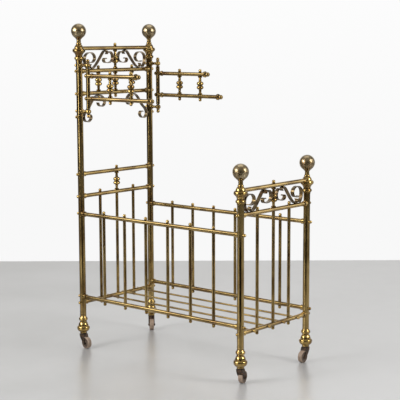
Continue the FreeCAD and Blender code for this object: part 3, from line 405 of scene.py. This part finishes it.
# %% Place the camera
camera_place = Vector((2.3465, -2.7042, 0.9728))
heading, dip, roll = 2.2782, 0.13687, -0.00306
forward = Vector((math.cos(dip) * math.cos(heading), math.cos(dip) * math.sin(heading), -math.sin(dip)))
lens = bpy.data.cameras.new("long lens")
lens.lens, lens.sensor_width = 107.29, 36.0
camera = bpy.data.objects.new("camera", lens)
scene.collection.objects.link(camera)
camera.location = camera_place
level_look = forward.to_track_quat("-Z", "Y").to_matrix()
camera.rotation_euler = (level_look @ Matrix.Rotation(roll, 3, "Z")).to_euler()
scene.camera = camera
print("the camera is", round(camera_place.length, 2), "m from the foot of the rack's middle")

# %% [markdown]
# ## The floor and the wall
# A worn concrete floor ends at a white wall. The floor is a sheet of squares that is laid out
# from the foot of the wall towards the camera. The wall is a large dome that only the camera
# sees, so the other sides of the rack are also seen against white and the wall sheds no light
# of its own.

# %% The floor
WALL_DISTANCE, FLOOR_DEPTH, FLOOR_HALF_WIDTH, SQUARE = 5.12, 9.0, 6.0, 0.5
ahead = Vector((math.cos(heading), math.sin(heading), 0))
aside = Vector((-ahead.y, ahead.x, 0))
wall_foot = Vector((camera_place.x, camera_place.y, 0)) + ahead * WALL_DISTANCE

# Concrete, floated smooth and sealed: patches of 385 mm from the mixing, sweeps of 71 mm from
# the float, and a sealer that gives a faint sheen. Painted shade darkens it towards the left.
concrete, tree, shader = new_material("power-floated concrete, sealed")
place = add(tree, "ShaderNodeTexCoord").outputs["Object"]
patches = add(tree, "ShaderNodeTexNoise", {"Vector": place, "Scale": 1 / (385 * MM), "Detail": 5.0})
sweeps = add(tree, "ShaderNodeTexNoise", {"Vector": place, "Scale": 1 / (71.4 * MM), "Detail": 4.0})
tone = add(tree, "ShaderNodeMath", {0: sweeps.outputs["Fac"], 1: 0.35, 2: patches.outputs["Fac"]},
           operation="MULTIPLY_ADD")
# Painted shade: the tone falls by 0.6 for each metre to the left, so the floor's colour darkens on that
# side.
painted_shade_leftwards = add(tree, "ShaderNodeVectorMath", {0: place, 1: aside}, operation="DOT_PRODUCT")
tone_with_leftward_shade = add(tree, "ShaderNodeMath", {0: painted_shade_leftwards.outputs["Value"], 1: -0.6, 2: tone.outputs["Value"]},
             operation="MULTIPLY_ADD")
tone_and_painted_shade = add(tree, "ShaderNodeMapRange",
            {"Value": tone_with_leftward_shade.outputs["Value"], "From Min": 0.1, "From Max": 0.9})
colour = add(tree, "ShaderNodeMix",
             {"Factor": tone_and_painted_shade.outputs["Result"], COLOUR_A: linear("#9e9e9d"), COLOUR_B: linear("#bababa")},
             data_type="RGBA")
rough = add(tree, "ShaderNodeMapRange", {"Value": sweeps.outputs["Fac"], "To Min": 0.26, "To Max": 0.38})
tree.links.new(colour.outputs[MIXED], shader.inputs["Base Color"])
tree.links.new(rough.outputs["Result"], shader.inputs["Roughness"])
shader.inputs["Coat Weight"].default_value = 0.8
shader.inputs["Coat Roughness"].default_value = 0.28

mesh = bmesh.new()
grid = [[mesh.verts.new(wall_foot - ahead * (SQUARE * row) + aside * (SQUARE * column - FLOOR_HALF_WIDTH))
         for column in range(round(FLOOR_HALF_WIDTH * 2 / SQUARE) + 1)]
        for row in range(round(FLOOR_DEPTH / SQUARE) + 1)]
for far, near in zip(grid, grid[1:]):
    for left, right in zip(range(len(far) - 1), range(1, len(far))):
        mesh.faces.new((far[left], near[left], near[right], far[right]))
mesh.normal_update()
for face in mesh.faces:
    if face.normal.z < 0:
        face.normal_flip()
to_object("floor", mesh, concrete, smooth=False)

# %% The wall
DOME_RADIUS, DOME_RINGS, DOME_SPOKES, FADE_HEIGHT = 14.0, 24, 48, 1.5


def seen_only_by(piece, ray):
    """Hide a piece from every kind of ray but one."""
    for kind in ("camera", "diffuse", "glossy", "transmission", "shadow"):
        setattr(piece, f"visible_{kind}", kind == ray)


# White emulsion paint, evenly lit: it glows by itself, and a little less near the floor.
white_wall, tree, shader = new_material("white painted wall")
tree.nodes.remove(shader)
place = add(tree, "ShaderNodeTexCoord").outputs["Object"]
height = add(tree, "ShaderNodeSeparateXYZ", {"Vector": place}).outputs["Z"]
fade = add(tree, "ShaderNodeMapRange", {"Value": height, "From Min": -FADE_HEIGHT, "From Max": FADE_HEIGHT})
paint = add(tree, "ShaderNodeMix",
            {"Factor": fade.outputs["Result"], COLOUR_A: linear("#f8f8f8"), COLOUR_B: linear("#fcfcfc")},
            data_type="RGBA")
glow = add(tree, "ShaderNodeEmission", {"Color": paint.outputs[MIXED], "Strength": 1.0})
tree.links.new(glow.outputs["Emission"], tree.nodes["Material Output"].inputs["Surface"])

mesh = bmesh.new()
levels = []
for ring in range(1, DOME_RINGS):
    polar = math.pi * ring / DOME_RINGS
    across, height = DOME_RADIUS * math.sin(polar), DOME_RADIUS * math.cos(polar)
    around = [math.tau * spoke / DOME_SPOKES for spoke in range(DOME_SPOKES)]
    levels.append([mesh.verts.new((across * math.cos(a), across * math.sin(a), height)) for a in around])
top, bottom = mesh.verts.new((0, 0, DOME_RADIUS)), mesh.verts.new((0, 0, -DOME_RADIUS))
for spoke in range(DOME_SPOKES):
    after = (spoke + 1) % DOME_SPOKES
    mesh.faces.new((top, levels[0][after], levels[0][spoke]))
    mesh.faces.new((bottom, levels[-1][spoke], levels[-1][after]))
    for upper, lower in zip(levels, levels[1:]):
        mesh.faces.new((upper[spoke], upper[after], lower[after], lower[spoke]))
wall = to_object("wall", mesh, white_wall, smooth=False)
seen_only_by(wall, "camera")

# %% [markdown]
# ## What the metal mirrors
# Polished metal shows mostly its surroundings, so they matter as much as its colour. The world
# is dark all round, as a studio is, lighter overhead, and white in the one direction where a
# sheet of paper hangs. Two soft boxes give the balls their pair of highlights. Two windows and
# a strip reach low enough to draw bright lines down the tubes, and a wide lamp overhead evens
# out the floor. A low sheet of black felt stands before the rack, where only the metal sees it:
# it puts a dark band down the middle of the lower tubes.

# %% The black flag
FLAG_DISTANCE, FLAG_WAVE, PANEL_WIDTH, PANELS = 1.0, 0.015, 0.1, 9
FLAG_HEIGHTS = (0.002, 0.15, 0.3)
# Wool felt, pressed and dyed: no gloss at all, and a nap in tufts of 4 mm.
felt, tree, shader = new_material("black pressed felt")
place = add(tree, "ShaderNodeTexCoord").outputs["Object"]
nap = add(tree, "ShaderNodeTexNoise", {"Vector": place, "Scale": 1 / (4 * MM), "Detail": 3.0})
colour = add(tree, "ShaderNodeMix",
             {"Factor": nap.outputs["Fac"], COLOUR_A: linear("#0d0c0a"), COLOUR_B: linear("#1d1a16")},
             data_type="RGBA")
tree.links.new(colour.outputs[MIXED], shader.inputs["Base Color"])
shader.inputs["Roughness"].default_value = 0.95

mesh = bmesh.new()
columns = []
for number in range(PANELS + 1):
    fold = -ahead * (FLAG_DISTANCE + FLAG_WAVE * math.sin(number))
    fold += aside * PANEL_WIDTH * (number - PANELS / 2)
    columns.append([mesh.verts.new(fold + Vector((0, 0, height))) for height in FLAG_HEIGHTS])
for first, second in zip(columns, columns[1:]):
    for low in range(len(FLAG_HEIGHTS) - 1):
        mesh.faces.new((first[low], second[low], second[low + 1], first[low + 1]))
flag = to_object("black flag", mesh, felt, smooth=False)
seen_only_by(flag, "glossy")

# %% The dark studio and its sheet of paper
PAPER, CEILING, DARK = 0.9, 0.45, 0.07
world = bpy.data.worlds.new("studio")
scene.world = world
world.use_nodes = True
tree = world.node_tree
background = tree.nodes["Background"]
toward = add(tree, "ShaderNodeTexCoord").outputs["Generated"]
to_paper = add(tree, "ShaderNodeVectorMath", {0: toward, 1: ahead}, operation="DOT_PRODUCT")
paper = add(tree, "ShaderNodeMapRange",
            {"Value": to_paper.outputs["Value"], "From Min": math.cos(math.radians(50)),
             "From Max": math.cos(math.radians(38)), "To Max": PAPER}, interpolation_type="SMOOTHSTEP")
up = add(tree, "ShaderNodeSeparateXYZ", {"Vector": toward}).outputs["Z"]
ceiling = add(tree, "ShaderNodeMapRange",
              {"Value": up, "From Min": 0.1, "From Max": 0.9, "To Min": DARK, "To Max": CEILING},
              interpolation_type="SMOOTHSTEP")
room = add(tree, "ShaderNodeMath", {0: paper.outputs["Result"], 1: ceiling.outputs["Result"]},
           operation="MAXIMUM")
tree.links.new(room.outputs["Value"], background.inputs["Strength"])
background.inputs["Color"].default_value = linear("#fbfaf8")
print("the paper gives", PAPER, "the ceiling", CEILING, "and the rest of the studio", DARK)


# %% The lamps
def soft_box(name, turn, lift, distance, size, power):
    """An area light aimed at the rack's middle. Turn is from the camera's side, left positive, and
    lift is above level, both in degrees; distance and size are in metres, power in watts."""
    lamp = bpy.data.lights.new(name, "AREA")
    lamp.shape, lamp.size, lamp.size_y, lamp.energy = "RECTANGLE", size[0], size[1], power
    piece = bpy.data.objects.new(name, lamp)
    scene.collection.objects.link(piece)
    aim = Vector((0, 0, 0.5))
    bearing, rise = heading + math.pi - math.radians(turn), math.radians(lift)
    direction = Vector((math.cos(bearing) * math.cos(rise), math.sin(bearing) * math.cos(rise),
                        math.sin(rise)))
    piece.location = aim + direction * distance
    piece.rotation_euler = (-direction).to_track_quat("-Z", "Y").to_euler()
    piece.visible_camera = False
    print(name, "at", [round(value, 2) for value in piece.location])


soft_box("left soft box", turn=62, lift=24, distance=3.0, size=(0.9, 1.3), power=52)
soft_box("right soft box", turn=-62, lift=24, distance=3.0, size=(0.9, 1.3), power=46)
soft_box("left window", turn=86, lift=26, distance=3.0, size=(0.9, 1.2), power=12)
soft_box("right window", turn=-98, lift=14, distance=3.0, size=(0.9, 1.7), power=8)
soft_box("left strip", turn=45, lift=13, distance=2.8, size=(0.3, 1.7), power=12)
soft_box("overhead", turn=180, lift=80, distance=3.2, size=(2.6, 2.6), power=24)
scene.view_settings.view_transform = "Standard"
